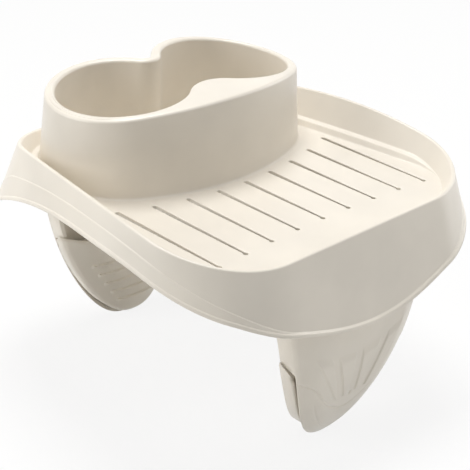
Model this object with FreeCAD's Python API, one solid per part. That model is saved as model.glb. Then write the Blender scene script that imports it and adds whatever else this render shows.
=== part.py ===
"""Hot tub tray: a moulded snack tray with a double cup well, hung over the wall of a tub by two legs.

Frame: millimetres, +Z up. X runs along the tub wall. Y runs across it, from the slotted end of the
tray (-Y) to the cup wells (+Y). The origin lies on the underside of the tray floor, half way between
the two legs, where the top of the tub wall bears.
"""
import FreeCAD, Part

import math
import os

from FreeCAD import Vector

# Walls
wall = 2.8                  # general moulded wall
floor_thickness = 3.0

# Plan of the rim, along the inner edge of its crest
rim_half_width = 117.6
rim_front = 110.8           # distance of the front edge from the origin
rim_back = 107.1
front_corner_radius = 47.0
side_radius = 472.0         # the sides are very flat arcs
back_corner_radius = 38.0

# Crest of the rim: an arch seen from the side, lowest along the front
crest_peak = 24.8           # height of the crest above the underside of the floor
crest_peak_y = 10.0
crest_radius = 460.0
lip_width = 2.4
lip_depth = 5.0             # solid depth of the lip above the hollow rim
lip_depth_front = 2.0       # and least depth where the rim is low
hollow_gap = 0.8            # width of the hollow at its top
hollow_lean = 0.6           # run of the hollow as a share of the run of the wall above it

# Inner wall of the rim, with a small ledge above a sloping band
wall_lean = 0.42            # run outwards for each millimetre of height
ledge_height = 4.2          # the ledge sinks with the rim and stays below this
ledge_width = 5.0           # width where the ledge is as high as this
band_run = 1.5              # run of the sloping band for each millimetre of its height

# Skirt: flares outwards from the crest down to a beaded lower edge, which is cut to an arch
flare = 0.35                # run outwards for each millimetre down
corner_tuck = 0.13          # how much steeper the skirt stands on the side of the front corners
tuck_start = -10.0          # the tuck grows from here
tuck_length = 60.0          # over this length
dip = 15.5                  # the middle of the front reaches lower
dip_half_length = 96.0
arch_radius_front = 290.0
arch_radius_back = 210.0
arch_apex = 3.8
bead_height = 2.6
bead_proud = 1.2
band_radius = 290.0         # upper edge of the thicker lower band of the skirt
band_apex = 14.5
band_proud = 0.5

# Drain slots
slot_count = 9
slot_pitch = 22.5
slot_width = 2.4
slot_front = 81.2           # front end of the middle slot
slot_front_step = 0.29      # the front ends step forward with the square of the slot's number
slot_back = 14.3            # back end of the middle slot
slot_back_radius = 250.0    # the back ends follow the front wall of the well

# Double cup well
cup_radius = 41.5
cup_x = 43.4
cup_y = 51.8
well_wall = 6.3             # width of the well's lip
well_front = -6.0           # outer front of the well at the top
well_top = 57.5             # top of the well at its middle
well_top_radius = 560.0     # the top is cut to a flat arch across the tray
well_draft = 0.075          # run of the outer wall for each millimetre of height
cup_draft = 0.025           # and of the inner wall
back_notch_radius = 6.5     # outside of the wall where the two cups meet at the back
land_nose_radius = 26.0     # rounded land between the cups at the front
well_lip_chamfer = 1.3
well_foot = 1.4             # bevel round the foot of the well
pocket_half_width = 36.0    # hollow under the land

# Legs: curved tongues, the rear one a mirror of the front one
leg_face = 117.9            # distance of the outer face from the origin, at leg_bulge_z
leg_bulge_z = -58.0
leg_face_radius = 190.0
leg_thickness = 16.0
leg_half_width = 59.0       # the outline is half an ellipse
leg_ellipse_z = -25.0
leg_tip = 137.0             # depth of the tip below the underside of the floor
leg_edge_chamfer = 5.0      # bevel round the outer face
leg_wall = 2.6
leg_top = -6.0
shell_depth = 7.0           # depth of the outer shell beside the pad
leg_window_top = -40.0      # top of the opening above the pad
window_rim = 4.0            # rim left round that opening
prism_depth = 76.0          # depth across the leg of the outline prisms, well past both of its faces
root_inner = 88.5           # inner face of the root block
root_depth = 10.0
root_half_width = 54.0

# Tenon of each leg, seated in a ribbed socket under the floor
tenon_half_width = 46.0
tenon_inner = 91.5
tenon_depth = 12.0
tenon_outer = tenon_inner + tenon_depth
tenon_fit = 0.3
socket_wall = 2.4

# Recessed panel on the outer face, with a fan of flutes. Its edge: distance from the middle, and height
panel_edge = ((59.5, -66.0), (53.0, -70.5), (47.0, -76.5), (34.5, -83.5), (28.5, -88.5), (25.0, -94.0),
              (18.0, -101.0), (9.0, -108.0), (0.0, -110.5))
panel_top = -30.0
panel_depth = 0.7
flute_top = -58.0
flute_bottom = -102.0
flutes = ((8.5, 5.2, 2.4, 1.5), (27.5, 4.4, 12.0, 1.8))     # middle and half width, top and bottom
flute_depth = 0.8

# Pad: the inner half of the leg, which bears on the tub wall
pad_slit = 0.8
pad_top = -63.5
pad_top_radius = 300.0
pad_tip_rise = 5.0          # the pad ends above the tip of the shell
pad_edge_chamfer = 5.0
pad_wall = 2.4
grip_count = 5
grip_pitch = 7.2
grip_first = -91.0
grip_half_width = 24.0
grip_half_width_step = 4.0
grip_height = 1.8
grip_proud = 1.1
boss_radius = 4.0
boss_z = (-78.0, -104.0)
boss_fit = 0.3


def arc_height(y, centre, apex, radius):
    """Height at y of a circular arch across the tub wall."""
    return apex - radius + math.sqrt(radius ** 2 - (y - centre) ** 2)


def skirt_arch(y):
    """Height of the lower edge of the skirt at y, but for the dip of the front."""
    return arc_height(y, 0.0, arch_apex, arch_radius_front if y < 0 else arch_radius_back)


def front_dip(x, y):
    """How much lower the front reaches: most at its middle, and nothing from its corners on."""
    if y > 0:
        return 0.0
    return dip * max(1.0 - (x / dip_half_length) ** 2, 0.0) ** 1.5


def rim_segments():
    """Stations along half the rim, as lists of x, y and outward angle, one list for each stretch."""
    corner_x = rim_half_width - front_corner_radius
    corner_y = -rim_front + front_corner_radius
    side_x = rim_half_width - side_radius
    reach = side_radius - back_corner_radius
    side_angle = math.asin((rim_back - back_corner_radius - corner_y) / reach)
    back_x = side_x + reach * math.cos(side_angle)
    back_y = rim_back - back_corner_radius

    def arc(cx, cy, radius, start, end, count):
        angles = [start + (end - start) * i / count for i in range(count + 1)]
        return [(cx + radius * math.cos(a), cy + radius * math.sin(a), a) for a in angles]

    front = [(corner_x * i / 4, -rim_front, -math.pi / 2) for i in range(5)]
    front_corner = arc(corner_x, corner_y, front_corner_radius, -math.pi / 2, 0.0, 8)
    side = arc(side_x, corner_y, side_radius, 0.0, side_angle, 5)
    back_corner = arc(back_x, back_y, back_corner_radius, side_angle, math.pi / 2, 5)
    back = [(back_x * (2 - i) / 2, rim_back, math.pi / 2) for i in range(3)]
    return [front, front_corner, side, back_corner, back]


def rim_profile(x, y, angle):
    """Closed section of the rim and skirt at one station: outward distances and heights."""
    ny = math.sin(angle)
    top = arc_height(y, crest_peak_y, crest_peak, crest_radius)
    rise = top - floor_thickness
    ledge = ledge_height * rise / (rise + ledge_height) * rise / (rise + 1.0)
    foot = -wall_lean * (rise - ledge)
    ledge_edge = foot - ledge_width * ledge / ledge_height
    band_foot = ledge_edge - band_run * ledge
    t = min(max((tuck_start - y) / tuck_length, 0.0), 1.0)
    run = flare - corner_tuck * (1.0 - ny * ny) * t * t * (3.0 - 2.0 * t)
    bottom = skirt_arch(y)
    for _ in range(40):
        out = lip_width + run * (top - bottom)
        bottom = skirt_arch(y + ny * out) - front_dip(x, y)
    bead_top = bottom + bead_height
    crease = bead_top + 0.6
    above = arc_height(y + ny * lip_width, 0.0, band_apex, band_radius) - crease
    crease += (1.0 - ny * ny) * max(above, 0.0)

    def skin(z):
        return lip_width + run * (top - z)

    hollow = top - lip_depth_front - (lip_depth - lip_depth_front) * rise / (rise + 2.0)
    hollow_out = skin(hollow) - wall
    hollow_in = hollow_out - hollow_gap
    under_in = hollow_in + hollow_lean * foot
    inner = band_foot - 2.0
    return [
        (inner, floor_thickness - 0.8),
        (band_foot, floor_thickness - 0.05),
        (ledge_edge, floor_thickness + ledge * 0.96),
        (foot, floor_thickness + ledge),
        (0.0, top - 0.4),
        (0.7, top),
        (lip_width - 0.7, top),
        (lip_width, top - 0.4),
        (skin(crease), crease),
        (skin(crease) + band_proud, crease - 0.4),
        (skin(bead_top) + band_proud, bead_top),
        (skin(bead_top) + bead_proud, bead_top - 0.5),
        (skin(bottom) + bead_proud, bottom + 0.4),
        (skin(bottom) + bead_proud - 0.8, bottom - 0.2),
        (skin(bottom) - wall, bottom),
        (hollow_out, hollow),
        (hollow_in, hollow),
        (under_in, 0.4),
        (inner, 0.4),
    ]


def rim_section(x, y, angle):
    nx, ny = math.cos(angle), math.sin(angle)
    points = [Vector(x + nx * n, y + ny * n, z) for n, z in rim_profile(x, y, angle)]
    return Part.makePolygon(points + points[:1])


def build_rim():
    """Rim and skirt: smooth lofts round one half, then its mirror image."""
    half = [Part.makeLoft([rim_section(*s) for s in part], True, False, False, 5) for part in rim_segments()]
    one = half[0].fuse(half[1:])
    return one.fuse(one.mirror(Vector(0, 0, 0), Vector(1, 0, 0)))


def floor_outline():
    """Edge of the floor plate, buried under the middle of the sloping band all round."""
    half = []
    for i, part in enumerate(rim_segments()):
        for x, y, angle in part[min(i, 1):]:
            profile = rim_profile(x, y, angle)
            n = (profile[1][0] + profile[2][0]) / 2
            half.append(Vector(x + math.cos(angle) * n, y + math.sin(angle) * n, 0))
    other = [Vector(-p.x, p.y, 0) for p in reversed(half[1:-1])]
    return Part.makePolygon(half + other + half[:1])


def build_floor():
    plate = Part.Face(floor_outline()).extrude(Vector(0, 0, floor_thickness))
    slots = []
    for i in range(slot_count):
        k = i - (slot_count - 1) / 2
        x = k * slot_pitch
        front = -slot_front - slot_front_step * k * k
        back = -slot_back + slot_back_radius - math.sqrt(slot_back_radius ** 2 - x * x)
        body = Part.makeBox(slot_width, back - front - slot_width, floor_thickness + 2)
        body.translate(Vector(x - slot_width / 2, front + slot_width / 2, -1))
        slots.append(body)
        for y in (front + slot_width / 2, back - slot_width / 2):
            slots.append(Part.makeCylinder(slot_width / 2, floor_thickness + 2, Vector(x, y, -1)))
    return plate.cut(slots)


def unit(a, b):
    return (b - a).normalize()


def well_outline(grow, z):
    """Outer plan of the well: one big front arc, two lobes and the notch at the back."""
    lobe = cup_radius + grow
    right, left = Vector(cup_x, cup_y, z), Vector(-cup_x, cup_y, z)
    top_lobe = cup_radius + well_wall
    depth = cup_y - well_front
    big = (cup_x ** 2 + depth ** 2 - top_lobe ** 2) / (2 * (depth - top_lobe))
    front = Vector(0, well_front + big, z)
    notch = Vector(0, cup_y + math.sqrt((top_lobe + back_notch_radius) ** 2 - cup_x ** 2), z)
    down, up = Vector(0, -1, 0), Vector(0, 1, 0)
    to_right, to_left = unit(front, right), unit(front, left)
    from_right, from_left = unit(right, notch), unit(left, notch)
    far = Vector(1, 0, 0)
    notch_radius = back_notch_radius + well_wall - grow
    return Part.Wire([
        Part.Arc(front + to_left * (big - top_lobe + lobe), front + down * (big - top_lobe + lobe),
                 front + to_right * (big - top_lobe + lobe)).toShape(),
        Part.Arc(right + to_right * lobe, right + far * lobe, right + from_right * lobe).toShape(),
        Part.Arc(notch - from_right * notch_radius, notch - up * notch_radius,
                 notch - from_left * notch_radius).toShape(),
        Part.Arc(left + from_left * lobe, left - far * lobe, left + to_left * lobe).toShape(),
    ])


def cup_outline(grow, z):
    """Inner plan of the well: two cups joined by a passage between rounded noses."""
    cup = cup_radius + grow
    right, left = Vector(cup_x, cup_y, z), Vector(-cup_x, cup_y, z)
    back_nose_radius = back_notch_radius + well_wall
    back = Vector(0, cup_y + math.sqrt((cup_radius + back_nose_radius) ** 2 - cup_x ** 2), z)
    land = Vector(0, cup_y - math.sqrt((cup_radius + land_nose_radius) ** 2 - cup_x ** 2), z)
    up, far = Vector(0, 1, 0), Vector(1, 0, 0)
    right_back, left_back = unit(right, back), unit(left, back)
    right_land, left_land = unit(right, land), unit(left, land)
    back_r, land_r = back_nose_radius - grow, land_nose_radius - grow
    return Part.Wire([
        Part.Arc(right + right_land * cup, right + far * cup, right + right_back * cup).toShape(),
        Part.Arc(back - right_back * back_r, back - up * back_r, back - left_back * back_r).toShape(),
        Part.Arc(left + left_back * cup, left - far * cup, left + left_land * cup).toShape(),
        Part.Arc(land - left_land * land_r, land + up * land_r, land - right_land * land_r).toShape(),
    ])


def build_well():
    """Walls of the double cup well, closed by a flat land between the cups at the front."""
    over = well_top + 4.0
    outer_low = well_outline(well_wall + well_draft * well_top, 0.5)
    outer_high = well_outline(well_wall - well_draft * (over - well_top), over)
    cup_low = cup_outline(-cup_draft * (well_top - floor_thickness), floor_thickness)
    cup_high = cup_outline(cup_draft * (over - well_top), over)
    foot_top = floor_thickness + well_foot
    buried = floor_thickness - 0.4
    foot_low = well_outline(well_wall + well_draft * well_top + well_foot, buried)
    foot_high = well_outline(well_wall + well_draft * (well_top - foot_top) - 0.1, foot_top)
    foot = Part.makeLoft([foot_low, foot_high], True, True)
    body = Part.makeLoft([outer_low, outer_high], True, True).fuse(foot)
    cups = Part.makeLoft([cup_low, cup_high], True, True)
    reach = cup_x + cup_radius + 40.0
    drop = well_top_radius - math.sqrt(well_top_radius ** 2 - reach ** 2)
    arch = Part.Arc(Vector(-reach, -60, well_top - drop), Vector(0, -60, well_top),
                    Vector(reach, -60, well_top - drop)).toShape()
    sky = Part.makePolygon([Vector(reach, -60, well_top - drop), Vector(reach, -60, over + 5),
                            Vector(-reach, -60, over + 5), Vector(-reach, -60, well_top - drop)])
    above = Part.Face(Part.Wire([arch] + sky.Edges)).extrude(Vector(0, 220, 0))
    walls = body.cut([cups, above])
    rims = [e for e in walls.Edges if e.BoundBox.ZMin > well_top - drop - 1.0]
    return walls.makeChamfer(well_lip_chamfer, rims)


def build_pocket():
    """Hollow under the land, open from below."""
    top = well_top - wall - 4.0
    top_lobe = cup_radius + well_wall
    depth = cup_y - well_front
    big = (cup_x ** 2 + depth ** 2 - top_lobe ** 2) / (2 * (depth - top_lobe))
    front_r = big - wall
    cup_r = cup_radius + wall
    nose_r = land_nose_radius - wall
    nose_y = cup_y - math.sqrt((cup_radius + land_nose_radius) ** 2 - cup_x ** 2)
    x = pocket_half_width
    front_y = well_front + big - math.sqrt(front_r ** 2 - x ** 2)
    cup_edge = cup_y - math.sqrt(cup_r ** 2 - (cup_x - x) ** 2)
    join = unit(Vector(0, nose_y, 0), Vector(cup_x, cup_y, 0)) * nose_r
    mid_x = (join.x + x) / 2
    mid_y = cup_y - math.sqrt(cup_r ** 2 - (cup_x - mid_x) ** 2)
    low = -1.0

    def at(px, py):
        return Vector(px, py, low)

    outline = Part.Wire([
        Part.Arc(at(-x, front_y), at(0, well_front + wall), at(x, front_y)).toShape(),
        Part.LineSegment(at(x, front_y), at(x, cup_edge)).toShape(),
        Part.Arc(at(x, cup_edge), at(mid_x, mid_y), at(join.x, nose_y + join.y)).toShape(),
        Part.Arc(at(join.x, nose_y + join.y), at(0, nose_y + nose_r),
                 at(-join.x, nose_y + join.y)).toShape(),
        Part.Arc(at(-join.x, nose_y + join.y), at(-mid_x, mid_y), at(-x, cup_edge)).toShape(),
        Part.LineSegment(at(-x, cup_edge), at(-x, front_y)).toShape(),
    ])
    return Part.Face(outline).extrude(Vector(0, 0, top - low))


def box_between(x0, x1, y0, y1, z0, z1):
    box = Part.makeBox(x1 - x0, y1 - y0, z1 - z0)
    box.translate(Vector(x0, y0, z0))
    return box


def build_socket(side):
    """Rib frame under the floor that holds the tenon of one leg; side is -1 at the front, 1 at the back."""
    x = tenon_half_width + tenon_fit
    inner, outer = tenon_inner - tenon_fit, tenon_outer + tenon_fit
    bottom = leg_top + tenon_fit
    y0, y1 = sorted((side * (inner - socket_wall), side * (outer + socket_wall)))
    block = box_between(-x - socket_wall, x + socket_wall, y0, y1, bottom, 1.0)
    h0, h1 = sorted((side * inner, side * outer))
    return block.cut(box_between(-x, x, h0, h1, bottom - 1, 0.0))


def build_tray():
    tray = build_floor().fuse([build_well(), build_rim(), build_socket(-1), build_socket(1)])
    return tray.cut(build_pocket())


def face_y(radius, z):
    """Distance from the origin, at height z, of the leg surface with this radius of bend."""
    return leg_face - leg_face_radius + math.sqrt(radius ** 2 - (z - leg_bulge_z) ** 2)


def leg_band(outer, inner, top, half_width=80.0):
    """Curved slab of the front leg between two surfaces, from height top down past the tip."""
    low = -leg_tip - 8.0
    middle = (top + low) / 2

    def at(radius, z):
        return Vector(-half_width, -face_y(radius, z), z)

    outline = Part.Wire([
        Part.Arc(at(outer, top), at(outer, middle), at(outer, low)).toShape(),
        Part.LineSegment(at(outer, low), at(inner, low)).toShape(),
        Part.Arc(at(inner, low), at(inner, middle), at(inner, top)).toShape(),
        Part.LineSegment(at(inner, top), at(outer, top)).toShape(),
    ])
    return Part.Face(outline).extrude(Vector(2 * half_width, 0, 0))


def tongue(half_width, centre_z, tip, top):
    """Half ellipse with straight sides above its centre, as a prism across the leg."""
    y0 = -leg_face - 10.0
    centre = Vector(0, y0, centre_z)
    ends = sorted([Vector(half_width, 0, 0), Vector(0, 0, -tip - centre_z)], key=lambda end: -end.Length)
    disc = Part.Face(Part.Wire([Part.Ellipse(centre + ends[0], centre + ends[1], centre).toShape()]))
    prism = disc.extrude(Vector(0, prism_depth, 0))
    upper = box_between(-half_width, half_width, y0, y0 + prism_depth, centre_z, top)
    lower = box_between(-half_width - 5, half_width + 5, y0 - 1, y0 + prism_depth + 1, centre_z, top + 200)
    return prism.cut(lower).fuse(upper).removeSplitter()


def leg_tongue(inset, top=leg_top):
    return tongue(leg_half_width - inset, leg_ellipse_z, leg_tip - inset, top)


def pad_ceiling(gap):
    """Everything below the arched top edge of the pad, raised by gap."""
    start = Vector(0, -leg_face - 20.0, pad_top - pad_top_radius + gap)
    return Part.makeCylinder(pad_top_radius, leg_thickness + 80.0, start, Vector(0, 1, 0))


def bevel_face(solid, radius, size):
    """Bevel the long edges round the leg surface that has the given radius of bend."""
    chosen = []
    for edge in solid.Edges:
        middle = edge.valueAt((edge.FirstParameter + edge.LastParameter) / 2)
        on_face = abs(-middle.y - face_y(radius, middle.z)) < 0.05
        if on_face and edge.BoundBox.ZLength > size:
            chosen.append(edge)
    return solid.makeChamfer(size, chosen)


def build_panel():
    """Prism over the recessed panel: its curved lower edge, mirrored, closed above by a straight line."""
    y0 = -leg_face - 10.0
    half = [Vector(x, y0, z) for x, z in panel_edge]
    points = half + [Vector(-p.x, p.y, p.z) for p in reversed(half[:-1])]
    edge = Part.BSplineCurve()
    edge.interpolate(points)
    top_left, top_right = Vector(points[-1].x, y0, panel_top), Vector(points[0].x, y0, panel_top)
    lid = Part.makePolygon([points[-1], top_left, top_right, points[0]])
    return Part.Face(Part.Wire([edge.toShape()] + lid.Edges)).extrude(Vector(0, prism_depth, 0))


def build_flutes(depth):
    """Fan of round-ended flutes that run down the recessed panel and close up towards the tip."""
    cutters = []
    y0 = -leg_face - 10.0
    for x0, r0, x1, r1 in flutes + tuple((-x0, r0, -x1, r1) for x0, r0, x1, r1 in flutes):
        left, right = (x0 - r0, flute_top), (x0 + r0, flute_top)
        corners = [left, (x1 - r1, flute_bottom), (x1 + r1, flute_bottom), right, left]
        outline = Part.makePolygon([Vector(x, y0, z) for x, z in corners])
        flute = Part.Face(outline).extrude(Vector(0, 40, 0))
        tip = Part.makeCylinder(r1, 40, Vector(x1, y0, flute_bottom), Vector(0, 1, 0))
        cutters.append(flute.fuse(tip))
    floor = leg_band(leg_face_radius + 20.0, leg_face_radius - depth, leg_top)
    return [c.common(floor) for c in cutters]


def build_leg():
    """Front leg: a curved tongue, hollow and open to the inside, with a root block and tenon."""
    body = leg_band(leg_face_radius, leg_face_radius - leg_thickness, leg_top).common(leg_tongue(0.0))
    body = bevel_face(body, leg_face_radius, leg_edge_chamfer)
    cavity_top = leg_top - root_depth
    root_outer = face_y(leg_face_radius - 4.0, cavity_top)
    root = box_between(-root_half_width, root_half_width, -root_outer, -root_inner, cavity_top, leg_top)
    half = tenon_half_width
    tenon = box_between(-half, half, -tenon_outer, -tenon_inner, leg_top - 2.0, 0.0)
    body = body.fuse([root, tenon])
    cavity = leg_band(leg_face_radius - leg_wall, leg_face_radius - leg_thickness + leg_wall, cavity_top)
    cavity = cavity.common(leg_tongue(leg_wall, cavity_top))
    cavity = bevel_face(cavity, leg_face_radius - leg_wall, leg_edge_chamfer - leg_wall / 2)
    past = leg_face_radius - leg_thickness - 10.0
    window = leg_band(leg_face_radius - leg_wall - window_rim, past, leg_window_top)
    window = window.common(leg_tongue(leg_wall + window_rim))
    seat = leg_band(leg_face_radius - shell_depth, past, pad_top + 20.0)
    seat = seat.common(pad_ceiling(pad_slit))
    skin = leg_band(leg_face_radius + 20.0, leg_face_radius - panel_depth, leg_top)
    panel = build_panel().common(skin)
    leg = body.cut([cavity, window, seat, panel])
    leg = leg.cut(build_flutes(panel_depth + flute_depth))
    bosses = []
    for z in boss_z:
        y = -face_y(leg_face_radius - leg_wall / 2, z)
        length = shell_depth - leg_wall / 2
        bosses.append(Part.makeCylinder(boss_radius, length, Vector(0, y, z), Vector(0, 1, 0)))
    return leg.fuse(bosses)


def build_pad():
    """Pad of the front leg: a hollow half shell with grip ribs, which closes the leg's inner side."""
    outer = leg_face_radius - shell_depth - pad_slit
    inner = leg_face_radius - leg_thickness
    reach = pad_tip_rise
    outline = tongue(leg_half_width - 0.6, leg_ellipse_z, leg_tip - reach, leg_top)
    body = leg_band(outer, inner, leg_top).common(outline)
    body = bevel_face(body, inner, pad_edge_chamfer)
    body = body.common(pad_ceiling(0.0))
    inside = tongue(leg_half_width - 0.6 - pad_wall, leg_ellipse_z, leg_tip - reach - pad_wall, leg_top)
    hollow = leg_band(outer + 5.0, inner + pad_wall, leg_top).common(inside)
    hollow = bevel_face(hollow, inner + pad_wall, pad_edge_chamfer - pad_wall / 2)
    pad = body.cut(hollow)
    grips = []
    for i in range(grip_count):
        z = grip_first - grip_pitch * i
        half = grip_half_width - grip_half_width_step * i
        y = -face_y(inner, z)
        bar = box_between(-half, half, y - 1.2, y + grip_proud, z - grip_height / 2, z + grip_height / 2)
        grips.append(bar)
    posts = []
    for z in boss_z:
        start = -face_y(leg_face_radius - shell_depth, z) + boss_fit
        stop = -face_y(inner + pad_wall / 2, z)
        posts.append(Part.makeCylinder(boss_radius, stop - start, Vector(0, start, z), Vector(0, 1, 0)))
    return pad.fuse(grips + posts)


def main():
    """Write one STEP file for each piece."""
    os.makedirs("parts", exist_ok=True)
    leg, pad = build_leg(), build_pad()
    middle, across = Vector(0, 0, 0), Vector(0, 1, 0)
    pieces = {
        "tray": build_tray(),
        "front_leg": leg,
        "front_leg_pad": pad,
        "rear_leg": leg.mirror(middle, across),
        "rear_leg_pad": pad.mirror(middle, across),
    }
    for name, shape in pieces.items():
        shape.exportStep("parts/" + name + ".step")


if __name__ == "__main__":
    main()
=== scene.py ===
"""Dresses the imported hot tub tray: moulded surfaces, ivory plastic, studio light and camera.

Lengths inside the classes are millimetres in the frame of the CAD model: +Z up, X along the tub wall,
Y from the slotted end of the tray to the cup wells, origin on the underside of the tray floor.
"""
import logging
import math
from collections.abc import Callable
from dataclasses import dataclass
from enum import Enum

import bmesh
import bpy
import numpy as np
from mathutils import Matrix, Vector
from mathutils.geometry import delaunay_2d_cdt


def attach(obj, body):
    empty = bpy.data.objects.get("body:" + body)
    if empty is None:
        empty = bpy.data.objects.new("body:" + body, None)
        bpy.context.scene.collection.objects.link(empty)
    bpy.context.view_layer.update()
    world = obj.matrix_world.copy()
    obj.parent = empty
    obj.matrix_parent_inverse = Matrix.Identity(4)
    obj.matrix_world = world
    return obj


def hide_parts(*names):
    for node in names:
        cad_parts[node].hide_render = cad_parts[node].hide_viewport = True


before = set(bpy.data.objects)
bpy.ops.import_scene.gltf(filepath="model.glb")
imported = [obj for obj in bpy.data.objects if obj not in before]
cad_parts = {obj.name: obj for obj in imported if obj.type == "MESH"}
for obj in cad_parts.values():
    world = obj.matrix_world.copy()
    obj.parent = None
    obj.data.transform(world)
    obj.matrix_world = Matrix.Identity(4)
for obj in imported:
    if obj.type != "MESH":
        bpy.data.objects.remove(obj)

log = logging.getLogger("tray")

Array = np.ndarray
Material = bpy.types.Material
Tree = bpy.types.NodeTree
Socket = bpy.types.NodeSocket
Pair = tuple[float, float]
Triple = tuple[float, float, float]
Colour = tuple[float, float, float, float]

MILLIMETRE = 0.001
CREASE_DEGREES = 50.0  # edges that turn by more than this stay sharp
WELD = 1e-5  # points of a flat plate closer than this are one
TINY = 1e-9  # added to lengths that may be zero
FLAT = 1e-6  # added to slopes that may be zero
ROUND_STEPS = 5  # points along a small rounding


class Slot(Enum):
    """Material slots of the record."""

    TRAY = "tray_plastic"
    LEG = "leg_plastic"


class End(Enum):
    """Which leg: the sign of its Y."""

    FRONT = -1
    REAR = 1

    @property
    def word(self) -> str:
        """Name of the end as the nodes' names have it."""
        return self.name.lower()


def arc_drop(radius: float | Array, reach: float | Array) -> Array:
    """Fall of a circular arc below its apex.

    Args:
        radius: radius of the arc.
        reach: distances from the apex, measured along the chord.

    Returns:
        The fall at each distance: the radius less the root of its square less the distance's square.
    """
    return radius - np.sqrt(radius ** 2 - np.square(reach))


def smooth_step(share: Array) -> Array:
    """Smooth ramp from 0 to 1.

    Args:
        share: values, held between 0 and 1 first.

    Returns:
        Three times the square less twice the cube of each value.
    """
    held = np.clip(share, 0.0, 1.0)
    return held * held * (3.0 - 2.0 * held)


def softened(corners: Array, cuts: Array, steps: int) -> Array:
    """Rounds the corners of many polygons at once.

    Each corner becomes a quadratic curve that starts and ends one cut away from it on its two sides and is
    drawn towards the corner. A cut is held to 0.45 of the shorter side.

    Args:
        corners: polygons as an array (..., corner, axis).
        cuts: one cut for each corner, zero where it stays sharp.
        steps: points on each curve.

    Returns:
        The rounded polygons, with steps points for each corner.
    """
    to_last = np.roll(corners, 1, axis=-2) - corners
    to_next = np.roll(corners, -1, axis=-2) - corners
    last_length = np.linalg.norm(to_last, axis=-1, keepdims=True) + TINY
    next_length = np.linalg.norm(to_next, axis=-1, keepdims=True) + TINY
    cut = np.minimum(cuts[:, None], 0.45 * np.minimum(last_length, next_length))
    cut = np.where(cuts[:, None] > 0, cut, 0.0)
    start = (corners + to_last / last_length * cut)[..., None, :]
    end = (corners + to_next / next_length * cut)[..., None, :]
    middle = corners[..., None, :]
    t = np.linspace(0.0, 1.0, steps)[:, None]
    curve = (1 - t) ** 2 * start + 2 * t * (1 - t) * middle + t ** 2 * end
    return curve.reshape(corners.shape[:-2] + (-1, corners.shape[-1]))


def inside(points: Array, ring: Array) -> Array:
    """Tests points against a polygon by counting the edges that a ray along X crosses.

    Args:
        points: array (n, 2).
        ring: corners of the polygon, array (m, 2).

    Returns:
        True for each point inside.
    """
    x, y = points[:, 0, None], points[:, 1, None]
    ax, ay = ring[None, :, 0], ring[None, :, 1]
    bx, by = np.roll(ring[:, 0], -1)[None], np.roll(ring[:, 1], -1)[None]
    spans = (ay > y) != (by > y)
    rise = np.where(by == ay, 1.0, by - ay)
    return np.logical_and(spans, x < (bx - ax) * (y - ay) / rise + ax).sum(axis=1) % 2 == 1


def flat_triangles(outline: Array, holes: list[Array]) -> tuple[Array, Array]:
    """Triangles of a flat plate with holes.

    Args:
        outline: corners of the plate, array (n, 2).
        holes: corners of each hole.

    Returns:
        The points (k, 2) and the triangles (j, 3) as indices.
    """
    rings = [outline, *holes]
    edges, start = [], 0
    for ring in rings:
        count = len(ring)
        edges += [(start + i, start + (i + 1) % count) for i in range(count)]
        start += count
    points = np.concatenate(rings)
    made = delaunay_2d_cdt([Vector(p) for p in points], edges, [], 0, WELD)
    flat = np.array([tuple(v) for v in made[0]])
    triangles = np.array(made[2])
    centres = flat[triangles].mean(axis=1)
    keep = inside(centres, outline)
    for hole in holes:
        keep &= ~inside(centres, hole)
    return flat, triangles[keep]


def polar(angle: Array) -> Array:
    """Directions at angles, with X and Y along a new last axis."""
    return np.stack([np.cos(angle), np.sin(angle)], axis=-1)


def at_height(plan: Array, z: Array | float) -> Array:
    """Lifts points (n, 2) of a plan to height z, one value or one for each point."""
    return np.concatenate([plan, np.broadcast_to(z, (len(plan),))[:, None]], axis=1)


def border(grid: Array) -> Array:
    """Values along a grid's border: down its first column, up its last and back along its first row."""
    return np.concatenate([grid[:, 0], grid[::-1, -1], grid[0, ::-1][1:-1]])


def around(x: Array, z: Array, top_x: Array, top_z: Array) -> tuple[Array, Array]:
    """X and Z of a closed loop: down the left side, up the right side (x, z) and back along the top edge."""
    return (np.concatenate([-x, x[::-1], top_x[::-1][1:-1]]),
            np.concatenate([z, z[::-1], top_z[::-1][1:-1]]))


def moved_in(half: Array, z: Array, inset: Array | float) -> tuple[Array, Array]:
    """Moves the right side of a tongue's outline inwards.

    The normal is the outline's own step, turned by a quarter. At the tip it points straight down.

    Args:
        half: half width of each row, from the top to the tip.
        z: height of each row.
        inset: how far each row moves, one value or one for each row.

    Returns:
        New half widths, held above zero, and heights.
    """
    step_x, step_z = np.gradient(half), np.gradient(z)
    length = np.hypot(step_x, step_z) + TINY
    normal_x, normal_z = -step_z / length, step_x / length
    normal_x[-1], normal_z[-1] = 0.0, -1.0
    return np.maximum(half - inset * normal_x, 0.0), z - inset * normal_z


def add_object(name: str, data: bpy.types.ID) -> bpy.types.Object:
    """Adds an object to the scene.

    Args:
        name: name of the object.
        data: its mesh, lamp or camera.

    Returns:
        The object.
    """
    made = bpy.data.objects.new(name, data)
    bpy.context.scene.collection.objects.link(made)
    return made


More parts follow.
